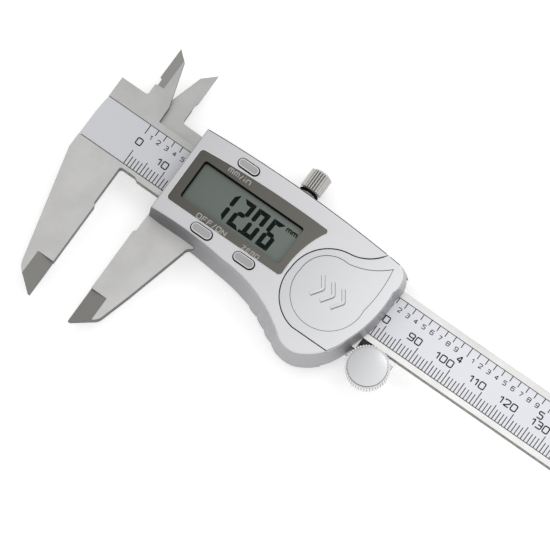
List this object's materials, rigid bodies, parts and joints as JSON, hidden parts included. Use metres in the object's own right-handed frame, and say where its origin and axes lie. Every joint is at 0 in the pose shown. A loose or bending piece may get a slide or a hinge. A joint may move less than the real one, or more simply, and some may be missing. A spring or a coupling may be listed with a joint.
{
  "type": "digital caliper",
  "caption": "Digital sliding caliper: fixed and sliding jaws on a graduated beam, display housing with buttons, thumb wheel, lock screw and depth rod",
  "frame": {"origin": "centre of the fixed outside jaw's measuring face, at the beam's mid thickness", "axes": "+X along the beam towards the depth rod, the way the slider opens; +Y towards the inside jaws; +Z out of the display and scale face"},
  "size_m": [0.2485, 0.0756, 0.0139],
  "materials": {
    "jaw_steel": "ground stainless steel, fine grain",
    "label": "printed polyester film, pale cool white",
    "grid_board": "glass-fibre strip with copper pattern",
    "housing": "satin silver paint over die cast shell",
    "rear": "satin silver paint",
    "panel": "satin taupe plate",
    "lcd": "reflective liquid crystal glass, grey green",
    "reflector": "foil film",
    "zebra": "elastomer strip",
    "board": "green solder mask",
    "chip": "epoxy",
    "components": "sintered ceramic with tinned ends",
    "can": "plated can",
    "button": "satin silver cap",
    "seal": "soft black rubber",
    "screw": "zinc plated",
    "brass": "turned brass",
    "rod": "ground stainless steel",
    "cell": "nickel plated can",
    "contact": "sprung contact strip",
    "cover": "satin silver plate",
    "wheel": "satin light moulding",
    "knob": "plated, straight knurl"
  },
  "bodies": {
    "beam": {"main_beam": "jaw_steel", "grid_strip": "grid_board", "scale_label": "label", "stop_plate": "jaw_steel", "stop_plate_screws": "screw"},
    "slider": {"slider_frame": "jaw_steel", "gib": "brass", "gib_set_screws": "screw", "depth_rod": "rod", "depth_rod_screws": "screw", "front_housing": "housing", "rear_cover": "rear", "housing_screws": "screw", "display_panel": "panel", "lcd_glass": "lcd", "lcd_reflector": "reflector", "zebra_strips": "zebra", "circuit_board": "board", "measuring_chip": "chip", "board_components": "components", "quartz_crystal": "can", "button_pads": "seal", "battery_cell": "cell", "battery_contacts": "contact", "battery_gasket": "seal", "left_wiper": "seal", "right_wiper": "seal", "wheel_bracket": "jaw_steel", "bracket_screws": "screw", "wheel_axle": "rod"},
    "wheel": {"thumb_wheel": "wheel"},
    "lock_pad_body": {"lock_pad": "brass"},
    "lock_knob": {"lock_screw": "knob"},
    "unit_button": {"mm_inch_button": "button"},
    "power_button_body": {"power_button": "button"},
    "zero_button_body": {"zero_button": "button"},
    "cover": {"battery_cover": "cover"}
  },
  "joints": [
    {"name": "slider_travel", "type": "slide", "parent": "beam", "child": "slider", "axis": [1, 0, 0], "range_m": [-0.01205, 0.13794]},
    {"name": "thumb_wheel_turn", "type": "hinge", "parent": "slider", "child": "wheel", "pos_m": [0.08211, 0.02005, 0], "axis": [0, 0, 1], "range_deg": [-120, 1380]},
    {"name": "lock_screw_turn", "type": "hinge", "parent": "lock_pad_body", "child": "lock_knob", "pos_m": [0.04296, 0.0525, 0], "axis": [0, 1, 0], "range_deg": [-360, 180]},
    {"name": "lock_pad_slide", "type": "slide", "parent": "slider", "child": "lock_pad_body", "axis": [0, -1, 0], "range_m": [-0.0005, 0.00025]},
    {"name": "unit_button_press", "type": "slide", "parent": "slider", "child": "unit_button", "axis": [0, 0, -1], "range_m": [0, 0.0005], "stiffness_N_per_m": 400, "springref_m": -0.0005},
    {"name": "power_button_press", "type": "slide", "parent": "slider", "child": "power_button_body", "axis": [0, 0, -1], "range_m": [0, 0.0005], "stiffness_N_per_m": 400, "springref_m": -0.0005},
    {"name": "zero_button_press", "type": "slide", "parent": "slider", "child": "zero_button_body", "axis": [0, 0, -1], "range_m": [0, 0.0005], "stiffness_N_per_m": 400, "springref_m": -0.0005},
    {"name": "battery_cover_slide", "type": "slide", "parent": "slider", "child": "cover", "axis": [1, 0, 0], "range_m": [0, 0.022]}
  ],
  "couplings": [
    {"joint": "thumb_wheel_turn", "follows": "slider_travel", "rad_per_m": 168.07},
    {"joint": "lock_screw_turn", "follows": "lock_pad_slide", "rad_per_m": 12566}
  ]
}
